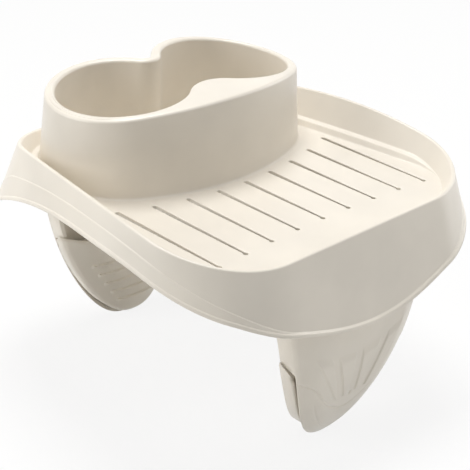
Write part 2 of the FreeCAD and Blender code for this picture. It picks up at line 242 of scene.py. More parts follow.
class Skin:
    """Patches of one piece, welded into one closed mesh."""

    def __init__(self) -> None:
        """Starts with no patches."""
        self.points: list[Array] = []
        self.faces: list[Array] = []
        self.count = 0

    def _add(self, points: Array, faces: Array) -> None:
        """Adds one patch.

        Args:
            points: its points, with three numbers along the last axis.
            faces: its faces, which count from the patch's first point.
        """
        self.points.append(points.reshape(-1, 3))
        self.faces.append(faces + self.count)
        self.count += len(self.points[-1])

    def grid(self, points: Array, close_rows: bool = False, close_columns: bool = False) -> None:
        """Adds a surface worked out on a grid.

        Args:
            points: array (rows, columns, 3).
            close_rows: joins the last row to the first.
            close_columns: joins the last column to the first.
        """
        rows, columns = points.shape[:2]
        index = np.arange(rows * columns).reshape(rows, columns)
        if close_rows:
            index = np.concatenate([index, index[:1]], axis=0)
        if close_columns:
            index = np.concatenate([index, index[:, :1]], axis=1)
        quads = [index[:-1, :-1], index[:-1, 1:], index[1:, 1:], index[1:, :-1]]
        self._add(points, np.stack(quads, axis=-1).reshape(-1, 4))

    def triangles(self, points: Array, triangles: Array) -> None:
        """Adds loose triangles.

        Args:
            points: array (n, 3).
            triangles: indices (m, 3).
        """
        self._add(points, np.concatenate([triangles, triangles[:, :1]], axis=1))

    def fan(self, ring: Array) -> None:
        """Closes a ring with triangles about its mean.

        Args:
            ring: array (n, 3).
        """
        index = np.arange(len(ring))
        faces = np.stack([np.full(len(ring), len(ring)), index, (index + 1) % len(ring)], axis=-1)
        self.triangles(np.concatenate([ring, ring.mean(axis=0, keepdims=True)]), faces)

    def piece(self, name: str, node: str, slot: Slot, material: Material) -> bpy.types.Object:
        """Makes the object: points closer than a micron are welded and faces turned outwards.

        Args:
            name: name of the piece.
            node: node of the CAD model that it takes the place of.
            slot: material slot of the record; not used.
            material: what it is made of.

        Returns:
            The object, riding on the part's body.
        """
        points = np.concatenate(self.points)
        faces = np.concatenate(self.faces)
        _, first, index = np.unique(np.round(points, 3), axis=0, return_index=True, return_inverse=True)
        faces = index.reshape(-1)[faces]
        repeat = faces == np.roll(faces, -1, axis=1)
        whole = faces[~repeat.any(axis=1)]
        # A face with one side of no length becomes a triangle.
        once = repeat.sum(axis=1) == 1
        part = faces[once][~np.roll(repeat[once], 1, axis=1)].reshape(-1, 3)
        part = part[(part[:, 0] != part[:, 1]) & (part[:, 1] != part[:, 2]) & (part[:, 2] != part[:, 0])]
        mesh = bpy.data.meshes.new(name)
        mesh.from_pydata((points[first] * MILLIMETRE).tolist(), [], whole.tolist() + part.tolist())
        mesh.validate()
        work = bmesh.new()
        work.from_mesh(mesh)
        bmesh.ops.recalc_face_normals(work, faces=work.faces)
        loose = sum(1 for edge in work.edges if len(edge.link_faces) != 2)
        work.to_mesh(mesh)
        work.free()
        mesh.shade_smooth()
        mesh.set_sharp_from_angle(angle=math.radians(CREASE_DEGREES))
        mesh.materials.append(material)
        made = add_object(name, mesh)
        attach(made, "root")
        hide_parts(node)
        log.info("%s: %d points, %d faces, %d open edges",
                 name, len(mesh.vertices), len(mesh.polygons), loose)
        return made


def rounded_block(low: Triple, high: Triple, radius: float) -> Skin:
    """Box with rounded edges: a rounded rectangle carried up through rounded shoulders.

    Args:
        low: lowest corner.
        high: highest corner.
        radius: radius of the edges.

    Returns:
        Its surface.
    """
    turn = np.linspace(0.0, math.pi / 2, ROUND_STEPS)
    corners = np.array([(1, 1), (-1, 1), (-1, -1), (1, -1)])
    middle, half = (np.array(low) + high) / 2, (np.array(high) - low) / 2
    rows = []
    for level, tuck in [(-1.0, a) for a in turn[::-1]] + [(1.0, a) for a in turn]:
        z = middle[2] + level * (half[2] - radius + radius * math.sin(tuck))
        plan = [middle[:2] + corner * (half[:2] - radius)
                + radius * math.cos(tuck) * polar(turn + number * math.pi / 2)
                for number, corner in enumerate(corners)]
        rows.append(at_height(np.concatenate(plan), z))
    skin = Skin()
    skin.grid(np.array(rows), close_columns=True)
    skin.fan(rows[0])
    skin.fan(rows[-1])
    return skin


def set_inputs(tree: Tree, node: bpy.types.Node, values: dict[str | int, object]) -> None:
    """Sets inputs of a node.

    Args:
        tree: node tree that it is in.
        node: the node.
        values: inputs by name or number. A socket is linked, and a number or colour is set.
    """
    for name, value in values.items():
        if isinstance(value, Socket):
            tree.links.new(value, node.inputs[name])
        else:
            node.inputs[name].default_value = value


def add_node(tree: Tree, kind: str, values: dict[str | int, object]) -> bpy.types.Node:
    """Adds a shader node.

    Args:
        tree: node tree that it goes into.
        kind: its type, without the leading ShaderNode.
        values: inputs, as for set_inputs.

    Returns:
        The node.
    """
    node = tree.nodes.new("ShaderNode" + kind)
    set_inputs(tree, node, values)
    return node


@dataclass(frozen=True)
class MouldedPlastic:
    """Ivory moulded plastic: a satin gloss with a fine grain and slow changes of tone."""

    name: str
    colour: Triple = (0.80, 0.745, 0.655)
    tone: float = 0.03  # change of tone between the palest and the darkest patch
    tone_noise: Pair = (45.0, 3.0)  # here and below: size of the patches in millimetres, and detail
    tone_range: Pair = (0.35, 0.65)
    roughness: Pair = (0.30, 0.42)
    gloss_noise: Pair = (9.0, 4.0)
    gloss_range: Pair = (0.3, 0.7)
    ripple_noise: Pair = (14.0, 1.0)
    ripple_depth: float = 0.03
    grain_noise: Pair = (0.35, 2.0)
    grain_depth: float = 0.006
    refraction: float = 1.49
    coat: float = 0.18
    coat_roughness: float = 0.22

    def build(self) -> Material:
        """Makes the material.

        Returns:
            A node material that reads Object coordinates.
        """
        material = bpy.data.materials.new(self.name)
        material.use_nodes = True
        tree = material.node_tree
        place = add_node(tree, "TexCoord", {}).outputs["Object"]
        tint = add_node(tree, "ValToRGB", {"Fac": self._noise(tree, place, self.tone_noise)})
        for stop, position, change in zip(tint.color_ramp.elements, self.tone_range, (-self.tone, self.tone)):
            stop.position = position
            stop.color = (*(min(1.0, c * (1.0 + change)) for c in self.colour), 1.0)
        gloss = add_node(tree, "MapRange", {
            "Value": self._noise(tree, place, self.gloss_noise),
            "From Min": self.gloss_range[0], "From Max": self.gloss_range[1],
            "To Min": self.roughness[0], "To Max": self.roughness[1]})
        ripple = add_node(tree, "Bump", {
            "Strength": 1.0, "Distance": self.ripple_depth * MILLIMETRE,
            "Height": self._noise(tree, place, self.ripple_noise)})
        grain = add_node(tree, "Bump", {
            "Strength": 1.0, "Distance": self.grain_depth * MILLIMETRE,
            "Height": self._noise(tree, place, self.grain_noise), "Normal": ripple.outputs["Normal"]})
        set_inputs(tree, tree.nodes["Principled BSDF"], {
            "Base Color": tint.outputs["Color"], "Roughness": gloss.outputs["Result"],
            "Normal": grain.outputs["Normal"], "IOR": self.refraction,
            "Coat Weight": self.coat, "Coat Roughness": self.coat_roughness})
        return material

    @staticmethod
    def _noise(tree: Tree, place: Socket, noise: Pair) -> Socket:
        """Adds a noise with patches of the given size and detail, and returns its value."""
        values = {"Vector": place, "Scale": 1.0 / (noise[0] * MILLIMETRE), "Detail": noise[1]}
        return add_node(tree, "TexNoise", values).outputs["Fac"]


@dataclass
class TrayRim:
    """Rim, skirt and slotted floor of the tray, one closed surface."""

    # Plan of the crest
    half_width: float = 117.8
    front: float = 110.9
    back: float = 107.3
    front_radius: float = 53.0
    side_radius: float = 472.0
    back_radius: float = 38.0
    stretch_counts: tuple[int, ...] = (24, 44, 60, 30, 16)
    # Heights
    floor: float = 3.0
    crest_peak: float = 23.9
    crest_peak_y: float = 10.0
    crest_radius: float = 480.0
    # Section
    wall: float = 2.8
    lip_width: float = 2.2
    lip_depth: float = 5.0
    lip_depth_front: float = 2.0
    lip_ease: float = 2.0
    hollow_gap: float = 0.8
    hollow_lean: float = 0.6
    wall_lean: float = 0.62
    ledge_height: float = 5.3
    ledge_width: float = 5.5
    ledge_edge_share: float = 0.96  # its inner edge lies a little lower
    ledge_ease: float = 1.0  # it shrinks where the rim is about this low
    ledge_start: float = -98.0  # the ledge grows out of the wall from here
    ledge_run_in: float = 45.0
    ledge_share_front: float = 0.04  # what is left of it in front of there
    band_run: float = 0.75
    flare: float = 0.35
    corner_tuck: float = 0.15
    tuck_start: float = -10.0
    tuck_length: float = 60.0
    dip: float = 15.5
    dip_half_length: float = 96.0
    dip_power: float = 1.5
    arch_radius_front: float = 290.0
    arch_radius_back: float = 210.0
    arch_apex: float = 3.8
    bead_height: float = 2.6
    bead_proud: float = 1.2
    bead_shoulder: float = 0.5
    band_radius: float = 290.0
    band_apex: float = 14.5
    band_proud: float = 0.5
    band_shoulder: float = 0.45
    band_clearance: float = 0.6  # least height of the band above the bead
    floor_margin: float = 2.5  # strip of the floor that belongs to the section
    edge_passes: int = 40  # the skirt's lean and its lower edge settle in this many passes
    corner_steps: int = 6
    # Drain slots
    slot_count: int = 9
    slot_pitch: float = 22.5
    slot_width: float = 1.5  # at the front end, where a small round hole ends it
    slot_width_back: float = 3.0
    slot_hole: float = 3.0
    slot_front: float = 81.2
    slot_front_step: float = 0.29
    slot_back: float = 14.3
    slot_back_radius: float = 250.0
    slot_points: tuple[int, int] = (11, 15)  # round the back end, round the hole
    slot_lip: float = 0.5
    slot_land: float = 0.5  # flat ring round each slot's rounded lip
    slot_chamfer: float = 0.3  # on the underside

    def walk(self) -> tuple[Array, Array, Array]:
        """Stations once round the crest.

        Returns:
            X, Y and the outward angle of each station.
        """
        corner_x = self.half_width - self.front_radius
        corner_y = -self.front + self.front_radius
        side_x = self.half_width - self.side_radius
        reach = self.side_radius - self.back_radius
        side_turn = math.asin((self.back - self.back_radius - corner_y) / reach)
        back_x = side_x + reach * math.cos(side_turn)
        back_y = self.back - self.back_radius
        quarter = math.pi / 2
        counts = self.stretch_counts

        def arc(x: float, y: float, radius: float, start: float, end: float, count: int) -> Array:
            """Stations on an arc about a point: its centre and the radius along each angle."""
            a = np.linspace(start, end, count, endpoint=False)
            return np.stack([x + radius * np.cos(a), y + radius * np.sin(a), a])

        def line(x0: float, x1: float, y: float, angle: float, count: int) -> Array:
            """Stations on a straight stretch along X."""
            x = np.linspace(x0, x1, count, endpoint=False)
            return np.stack([x, np.full(count, y), np.full(count, angle)])

        half = np.concatenate([
            line(0.0, corner_x, -self.front, -quarter, counts[0]),
            arc(corner_x, corner_y, self.front_radius, -quarter, 0.0, counts[1]),
            arc(side_x, corner_y, self.side_radius, 0.0, side_turn, counts[2]),
            arc(back_x, back_y, self.back_radius, side_turn, quarter, counts[3]),
            line(back_x, 0.0, self.back, quarter, counts[4]),
            np.array([[0.0], [self.back], [quarter]]),
        ], axis=1)
        mirror = half[:, -2:0:-1].copy()
        mirror[0] *= -1.0
        mirror[2] = math.pi - mirror[2]
        whole = np.concatenate([half, mirror], axis=1)
        return whole[0], whole[1], whole[2]

    def edge(self, y: Array) -> Array:
        """Height of the skirt's lower edge at y: an arch with one radius before the middle and one behind."""
        radius = np.where(y < 0, self.arch_radius_front, self.arch_radius_back)
        return self.arch_apex - arc_drop(radius, y)

    def section(self) -> tuple[Array, Array]:
        """Corners of the section at each station, from the floor over the lip, the skirt and its bead.

        Returns:
            Outward distance and height of each corner, array (stations, corners, 2), and the cut at each
            corner.
        """
        x, y, angle = self.walk()
        ny = np.sin(angle)
        top = self.crest_peak - arc_drop(self.crest_radius, y - self.crest_peak_y)
        rise = top - self.floor
        ledge = self.ledge_height * rise / (rise + self.ledge_height) * rise / (rise + self.ledge_ease)
        least = self.ledge_share_front
        ledge = ledge * (least + (1.0 - least) * smooth_step((y - self.ledge_start) / self.ledge_run_in))
        foot = -self.wall_lean * (rise - ledge)
        ledge_edge = foot - self.ledge_width * ledge / self.ledge_height
        band_foot = ledge_edge - self.band_run * ledge
        tuck = smooth_step((self.tuck_start - y) / self.tuck_length)
        flare = self.flare - self.corner_tuck * (1.0 - ny * ny) ** 2 * tuck
        share = np.maximum(1.0 - (x / self.dip_half_length) ** 2, 0.0)
        dip = np.where(y > 0, 0.0, self.dip * share ** self.dip_power)
        bottom = self.edge(y)
        for _ in range(self.edge_passes):
            bottom = self.edge(y + ny * (self.lip_width + flare * (top - bottom))) - dip
        bead_top = bottom + self.bead_height
        crease = bead_top + self.band_clearance
        above = self.band_apex - arc_drop(self.band_radius, y + ny * self.lip_width) - crease
        crease = crease + (1.0 - ny * ny) * np.maximum(above, 0.0)
        hollow = top - self.lip_depth_front
        hollow = hollow - (self.lip_depth - self.lip_depth_front) * rise / (rise + self.lip_ease)

        def skin(z: Array) -> Array:
            """Outward distance of the flared skirt at height z."""
            return self.lip_width + flare * (top - z)

        hollow_out = skin(hollow) - self.wall
        hollow_in = hollow_out - self.hollow_gap
        level = np.full_like(top, self.floor)
        inner = band_foot - self.floor_margin
        # Each corner: outward distance, height, and the cut that rounds it
        corners = [
            (inner, level, 0.0),
            (band_foot, level, 1.2),
            (ledge_edge, self.floor + ledge * self.ledge_edge_share, 0.7),
            (foot, self.floor + ledge, 0.9),
            (np.zeros_like(top), top, 1.0),
            (np.full_like(top, self.lip_width), top, 1.0),
            (skin(crease), crease, 0.25),
            (skin(crease) + self.band_proud, crease - self.band_shoulder, 0.3),
            (skin(bead_top) + self.band_proud, bead_top, 0.3),
            (skin(bead_top) + self.bead_proud, bead_top - self.bead_shoulder, 0.5),
            (skin(bottom) + self.bead_proud, bottom, 0.9),
            (skin(bottom) - self.wall, bottom, 0.6),
            (hollow_out, hollow, 0.5),
            (hollow_in, hollow, 0.3),
            (hollow_in + self.hollow_lean * foot, np.zeros_like(top), 1.0),
            (inner, np.zeros_like(top), 0.0),
        ]
        points = np.stack([np.stack([n, z], axis=-1) for n, z, _ in corners], axis=1)
        return points, np.array([cut for _, _, cut in corners])

    def slot_rings(self, grow: float) -> list[Array]:
        """Outlines of the slots: a round back end, straight sides that close up, and a small hole in front.

        Args:
            grow: how far the outline stands outside the slot.

        Returns:
            One ring, array (n, 2), for each slot.
        """
        rings = []
        back, hole = self.slot_width_back / 2 + grow, self.slot_hole / 2 + grow
        neck = math.acos((self.slot_width / 2 + grow) / hole)
        turn = np.linspace(0.0, math.pi, self.slot_points[0])
        round_hole = np.linspace(math.pi - neck, 2 * math.pi + neck, self.slot_points[1])
        for number in range(self.slot_count):
            k = number - (self.slot_count - 1) / 2
            x = k * self.slot_pitch
            low = -self.slot_front - self.slot_front_step * k * k + self.slot_hole / 2
            high = -self.slot_back + arc_drop(self.slot_back_radius, x) - self.slot_width_back / 2
            rings.append(np.concatenate([np.array([x, high]) + back * polar(turn),
                                         np.array([x, low]) + hole * polar(round_hole)]))
        return rings

    def build(self, material: Material, pocket: Array) -> bpy.types.Object:
        """Builds the piece: the section carried round the crest, and the slotted floor inside it.

        Args:
            material: what it is made of.
            pocket: outline of the hollow under the land, array (n, 2).

        Returns:
            The piece.
        """
        x, y, angle = self.walk()
        corners, cuts = self.section()
        outline = softened(corners, cuts, self.corner_steps)
        points = np.stack([x[:, None] + np.cos(angle)[:, None] * outline[..., 0],
                           y[:, None] + np.sin(angle)[:, None] * outline[..., 0],
                           outline[..., 1]], axis=-1)
        skin = Skin()
        skin.grid(points, close_rows=True)
        edge = points[:, 0, :2]
        lip, land, chamfer = self.slot_lip, self.slot_land, self.slot_chamfer
        for z, grow in ((self.floor, lip + land), (0.0, chamfer)):
            flat, triangles = flat_triangles(edge, [*self.slot_rings(grow), pocket])
            skin.triangles(at_height(flat, z), triangles)
        levels = [(lip + land, self.floor)]
        levels += [(lip * (1 - math.sin(a)), self.floor - lip * (1 - math.cos(a)))
                   for a in np.linspace(0.0, math.pi / 2, ROUND_STEPS)]
        levels += [(0.0, chamfer), (chamfer, 0.0)]
        stack = [[at_height(ring, z) for ring in self.slot_rings(grow)] for grow, z in levels]
        for slot in zip(*stack):
            skin.grid(np.array(slot), close_columns=True)
        skin.grid(np.array([at_height(pocket, z) for z in (self.floor, 0.0)]), close_columns=True)
        return skin.piece("tray_rim_and_floor", "tray", Slot.TRAY, material)


@dataclass
class CupWell:
    """Double cup well with the land between the cups."""

    cup_radius: float = 41.5
    cup_x: float = 43.4
    cup_y: float = 51.8
    wall: float = 6.3
    front: float = -6.0
    top: float = 57.5
    top_radius: float = 560.0
    draft: float = 0.085
    cup_draft: float = 0.025
    notch_radius: float = 6.5
    land_radius: float = 26.0
    floor: float = 3.0
    lip_radius: float = 2.0
    foot_radius: float = 1.7
    cup_foot_radius: float = 2.0
    skin_wall: float = 2.8
    pocket_half_width: float = 36.0
    pocket_back: float = 20.0  # the hollow ends this far in front of the cups' centres
    pocket_roof: float = 6.8  # its roof lies this far below the top
    base: float = 1.0  # the skin ends at this height, inside the floor
    sunk: float = 0.02  # the rounded foot starts this far below the floor's face
    counts: tuple[int, int, int] = (60, 96, 18)  # stations: half the land, a lobe, half the notch
    round_rows: int = 8
    wall_rows: int = 12
    top_rows: int = 16

    def loops(self) -> tuple[Array, Array, Array, Array]:
        """Outer and inner plan of the well, point by point in pairs.

        The outer loop is one big front arc, two lobes and a hollow notch at the back. The inner loop is the
        two cups, a nose at the back and the rounded land at the front. Round the lobes a pair has one angle.
        Along the land a pair has the same share of the length of each loop.

        Returns:
            Outer points and outward normals, inner points and the normals that point into the wall.
        """
        lobe = self.cup_radius + self.wall
        depth = self.cup_y - self.front
        big = (self.cup_x ** 2 + depth ** 2 - lobe ** 2) / (2 * (depth - lobe))
        front_centre = np.array([0.0, self.front + big])
        cup = np.array([self.cup_x, self.cup_y])
        notch_span = lobe + self.notch_radius
        notch = np.array([0.0, self.cup_y + math.sqrt(notch_span ** 2 - self.cup_x ** 2)])
        land_span = self.cup_radius + self.land_radius
        land = np.array([0.0, self.cup_y - math.sqrt(land_span ** 2 - self.cup_x ** 2)])
        front_turn = math.atan2(*(cup - front_centre)[::-1])
        notch_turn = math.atan2(*(notch - cup)[::-1])
        land_turn = math.atan2(*(land - cup)[::-1])

        def arc(centre: Array, radius: float, start: float, end: float, count: int,
                sign: float = 1.0) -> tuple[Array, Array]:
            """Points on an arc without its end, and the direction from the centre times sign."""
            way = polar(np.linspace(start, end, count, endpoint=False))
            return centre + way * radius, way * sign

        land_count, lobe_count, notch_count = self.counts
        down = -math.pi / 2
        outer = [arc(front_centre, big, down, front_turn, land_count),
                 arc(cup, lobe, front_turn, notch_turn, lobe_count),
                 arc(notch, self.notch_radius, notch_turn - math.pi, down, notch_count, -1.0)]
        nose_length = self.land_radius * (math.pi / 2 - (land_turn + math.pi))
        cup_length = self.cup_radius * (front_turn - land_turn)
        nose_count = round(land_count * nose_length / (nose_length + cup_length))
        inner = [arc(land, self.land_radius, math.pi / 2, land_turn + math.pi, nose_count, -1.0),
                 arc(cup, self.cup_radius, land_turn, front_turn, land_count - nose_count),
                 arc(cup, self.cup_radius, front_turn, notch_turn, lobe_count),
                 arc(notch, self.notch_radius + self.wall, notch_turn - math.pi, down, notch_count, -1.0)]
        last_outer = (np.array([notch + [0.0, -self.notch_radius]]), np.array([[0.0, 1.0]]))
        last_inner = (np.array([notch + [0.0, -self.notch_radius - self.wall]]), np.array([[0.0, 1.0]]))
        made = []
        for parts in (outer + [last_outer], inner + [last_inner]):
            for kind in (0, 1):
                half = np.concatenate([part[kind] for part in parts])
                mirror = half[-2:0:-1] * [-1.0, 1.0]
                made.append(np.concatenate([half, mirror]))
        return made[0], made[1], made[2], made[3]

    def lid(self, x: Array) -> Array:
        """Height of the arched top at x: its middle less the fall of its arc."""
        return self.top - arc_drop(self.top_radius, x)

    def pocket(self) -> Array:
        """Outline of the hollow under the land, inside the two loops by the wall.

        Returns:
            Its points, array (n, 2).
        """
        outer, outer_way, inner, inner_way = self.loops()
        count = len(outer)
        outside = outer - outer_way * self.skin_wall
        within = inner + inner_way * self.skin_wall
        # Counted from the back, the land's points follow each other without a break
        order = np.roll(np.arange(count), -(count // 2))
        narrow = np.abs(outside[order, 0]) < self.pocket_half_width
        chosen = order[narrow & (outer[order, 1] < self.cup_y - self.pocket_back)]
        return np.concatenate([outside[chosen], within[chosen][::-1]])

    def build(self, material: Material) -> bpy.types.Object:
        """Builds the piece: a closed section carried round the two loops.

        Args:
            material: what it is made of.

        Returns:
            The piece.
        """
        outer, outer_way, inner, inner_way = self.loops()
        turn = np.linspace(0.0, math.pi / 2, self.round_rows)
        rows = []

        def row(plan: Array, z: float | Array) -> None:
            """Adds one row of the grid."""
            rows.append(at_height(plan, z))

        def outside(z: float | Array, off: float) -> Array:
            """Outer wall at height z with its draft, moved out by off."""
            lean = self.draft * (self.lid(outer[:, 0]) - z) + off
            return outer + outer_way * lean[:, None]

        def within(z: float | Array, off: float) -> Array:
            """Cup wall at height z with its draft, moved into the wall by off."""
            lean = off - self.cup_draft * (self.lid(inner[:, 0]) - z)
            return inner + inner_way * lean[:, None]

        row(outside(self.base, self.foot_radius), self.base)
        for a in turn:
            z = self.floor - self.sunk + self.foot_radius * (1 - math.cos(a))
            row(outside(z, self.foot_radius * (1 - math.sin(a))), z)
        shoulder = self.lid(outer[:, 0]) - self.lip_radius
        foot = self.floor + self.foot_radius
        for share in np.linspace(0.0, 1.0, self.wall_rows)[1:]:
            z = foot + (shoulder - foot) * share
            row(outside(z, 0.0), z)
        for a in turn[1:]:
            z = shoulder + self.lip_radius * math.sin(a)
            row(outside(z, -self.lip_radius * (1 - math.cos(a))), z)
        edge_out = rows[-1][:, :2]
        edge_in = inner + inner_way * self.lip_radius
        for share in np.linspace(0.0, 1.0, self.top_rows)[1:-1]:
            plan = edge_out + (edge_in - edge_out) * share
            row(plan, self.lid(plan[:, 0]))
        shoulder = self.lid(inner[:, 0]) - self.lip_radius
        for a in turn[::-1]:
            z = shoulder + self.lip_radius * math.sin(a)
            row(inner + inner_way * self.lip_radius * (1 - math.cos(a)), z)
        foot = self.floor + self.cup_foot_radius
        for share in np.linspace(1.0, 0.0, self.wall_rows)[1:]:
            z = foot + (shoulder - foot) * share
            row(within(z, 0.0), z)
        for a in turn[::-1][1:]:
            z = self.floor - self.sunk + self.cup_foot_radius * (1 - math.cos(a))
            row(within(z, -self.cup_foot_radius * (1 - math.sin(a))), z)
        row(within(self.base, -self.cup_foot_radius), self.base)
        # The skin is hollow under the land, and has no hollow round the lobes
        land = (np.abs(outer[:, 0]) < self.pocket_half_width) & (outer[:, 1] < self.cup_y - self.pocket_back)
        roof = np.where(land, self.top - self.pocket_roof, self.base)
        inset_in = inner + inner_way * self.skin_wall
        inset_out = outer - outer_way * self.skin_wall
        for plan, z in ((inset_in, self.base), (inset_in, roof), (inset_out, roof), (inset_out, self.base)):
            row(plan, z)
        skin = Skin()
        skin.grid(np.array(rows), close_rows=True, close_columns=True)
        return skin.piece("tray_cup_well", "tray", Slot.TRAY, material)


@dataclass
class UnderFloor:
    """Ribbed sockets under the tray's floor, and the root block and tenon of each leg."""

    half_width: float = 46.0
    inner: float = 91.5
    depth: float = 12.0
    fit: float = 0.3
    rib: float = 2.4
    leg_top: float = -6.0
    root_half_width: float = 52.0
    root_inner: float = 88.5
    root_outer: float = 104.0
    root_depth: float = 10.0
    edge_radius: float = 0.6
    rib_top: float = 1.0  # the ribs end inside the floor
    tenon_top: float = -0.1  # and the tenon just below it
    tenon_foot: float = 1.0  # how far the tenon reaches into the root block

    def build(self, end: End, tray_plastic: Material, leg_plastic: Material) -> None:
        """Builds the four ribs of one socket, and the block and tenon that sit in it.

        Args:
            end: which leg.
            tray_plastic: what the ribs are made of.
            leg_plastic: what the block and the tenon are made of.
        """
        x = self.half_width + self.fit
        near, far = self.inner - self.fit, self.inner + self.depth + self.fit
        low = self.leg_top + self.fit
        wide = (-x - self.rib, x + self.rib)
        ribs = [(wide, (near - self.rib, near)), (wide, (far, far + self.rib)),
                ((-x - self.rib, -x), (near, far)), ((x, x + self.rib), (near, far))]
        for number, (across, out) in enumerate(ribs):
            name = f"tray_socket_{end.word}_{number + 1}"
            self._block(end, across, out, (low, self.rib_top)).piece(name, "tray", Slot.TRAY, tray_plastic)
        node = f"{end.word}_leg"
        root = self._block(end, (-self.root_half_width, self.root_half_width),
                           (self.root_inner, self.root_outer), (self.leg_top - self.root_depth, self.leg_top))
        root.piece(f"{node}_root", node, Slot.LEG, leg_plastic)
        tenon = self._block(end, (-self.half_width, self.half_width), (self.inner, self.inner + self.depth),
                            (self.leg_top - self.tenon_foot, self.tenon_top))
        tenon.piece(f"{node}_tenon", node, Slot.LEG, leg_plastic)

    def _block(self, end: End, across: Pair, out: Pair, up: Pair) -> Skin:
        """Rounded block between two values of X, of the distance from the origin, and of Z."""
        y0, y1 = sorted((end.value * out[0], end.value * out[1]))
        return rounded_block((across[0], y0, up[0]), (across[1], y1, up[1]), self.edge_radius)


@dataclass
class LegForm:
    """Curved tongue that the shell and the pad of one leg are cut from.

    Depth counts inwards from the outer face, which is an arc seen from the side.
    """

    end: End
    face: float = 118.3  # distance of the outer face from the origin, where it bulges most
    bend: float = 215.0
    bulge_z: float = -57.0
    thickness: float = 26.0
    half_width: float = 64.0
    widest_z: float = -8.0
    tip: float = 138.9
    top: float = -6.0
    power_down: float = 1.2  # exponents of the outline: 2 and 2 is half an ellipse
    power_across: float = 2.3
    rows: int = 300
    straight_rows: int = 3
    columns: int = 240
    closing_rows: int = 9
    crowding: float = 0.25  # columns stand closer together near the edges
    edge_width: float = 18.0  # width of the soft edge round the outer face
    edge_depth: float = 4.6
    fillet_width: float = 2.6  # the soft edges turn down further at their border
    fillet_depth: float = 1.2
    shell_depth: float = 6.6
    wall: float = 2.4
    pad_line: Pair = (-71.4, -66.0)  # side joint of frame and pad: at the slit, inside

    def place(self, x: Array, z: Array, depth: Array) -> Array:
        """Point of the leg: Y lies on an arc whose radius is the bend less the depth.

        Args:
            x: distance from the middle.
            z: height.
            depth: depth below the outer face.

        Returns:
            The points, with one axis more.
        """
        y = self.face - self.bend + np.sqrt((self.bend - depth) ** 2 - np.square(z - self.bulge_z))
        return np.stack(np.broadcast_arrays(x, self.end.value * y, z), axis=-1)

    def half_at(self, turn: Array, widest: float) -> Array:
        """Half width of a superellipse: its greatest one times a root of one less a power of the sine."""
        share = np.clip(np.sin(turn), 0.0, 1.0)
        return widest * np.maximum(1.0 - share ** self.power_down, 0.0) ** (1.0 / self.power_across)

    def profile(self) -> tuple[Array, Array]:
        """Outline of the right side: straight, then a superellipse down to the tip.

        Returns:
            Half width and height of each row, from the top to the tip.
        """
        straight = np.linspace(self.top, self.widest_z, self.straight_rows, endpoint=False)
        turn = np.linspace(0.0, math.pi / 2, self.rows - self.straight_rows)
        z = self.widest_z - (self.tip + self.widest_z) * np.sin(turn)
        half = self.half_at(turn, self.half_width)
        return (np.concatenate([np.full(self.straight_rows, self.half_width), half]),
                np.concatenate([straight, z]))

    def inward(self, x: Array, z: Array, rise: float = 0.0) -> Array:
        """Distance from the outline, to first order.

        It is one less the outline's own sum of powers, over the length of that sum's gradient.

        Args:
            x: distance from the middle.
            z: height.
            rise: how far the tip is lifted.

        Returns:
            The distance at each point, zero outside.
        """
        across = np.abs(x) / self.half_width
        reach = self.tip - rise + self.widest_z
        down = np.clip((self.widest_z - z) / reach, 0.0, None)
        total = across ** self.power_across + down ** self.power_down
        slope_x = self.power_across * across ** (self.power_across - 1.0) / self.half_width
        slope_z = self.power_down * down ** (self.power_down - 1.0) / reach
        return np.maximum(1.0 - total, 0.0) / (np.hypot(slope_x, slope_z) + FLAT)

    def ring(self, inset: Array | float, lid: float) -> tuple[Array, Array]:
        """Closed loop round the tongue: down the left side, up the right side and back along the top.

        Args:
            inset: how far it stands inside the outline, one value or one for each row.
            lid: greatest height.

        Returns:
            X and Z of the loop.
        """
        x, z = moved_in(*self.profile(), inset)
        above = z > lid
        x = np.where(above, np.interp(lid, z[::-1], x[::-1]), x)
        z = np.where(above, lid, z)
        return around(x, z, self.spread() * x[0], np.full(self.columns, z[0]))

    def above_pad(self, z: Array) -> Array:
        """Share from 0 beside the pad to 1 beside the frame above it."""
        return np.clip((z - self.pad_line[0]) / (self.pad_line[1] - self.pad_line[0]), 0.0, 1.0)

    def fillet(self, inward: Array) -> Array:
        """Extra depth close to the border, where a soft edge turns into the side."""
        return self.fillet_depth * np.clip(1.0 - inward / self.fillet_width, 0.0, 1.0) ** 2

    def spread(self) -> Array:
        """Shares from -1 to 1 across the tongue, closer together near its edges."""
        t = np.linspace(-1.0, 1.0, self.columns)
        return t * (1.0 + self.crowding - self.crowding * t * t)

    def zip_up(self, skin: Skin, rows: list[Array], loop: tuple[Array, Array],
               depth_at: Callable[..., Array]) -> None:
        """Adds the loops as a wall, and closes the last with rows that shrink towards the middle line.

        Args:
            skin: surface that they go into.
            rows: loops so far, as points.
            loop: X and Z of the last loop.
            depth_at: depth at X and Z.
        """
        x, z = loop
        skin.grid(np.array([*rows, self.place(x, z, depth_at(x, z))]), close_columns=True)
        across = x[None] * np.cos(np.linspace(0.0, math.pi / 2, self.closing_rows))[:, None]
        height = np.broadcast_to(z, across.shape)
        skin.grid(self.place(across, height, depth_at(across, height)), close_columns=True)


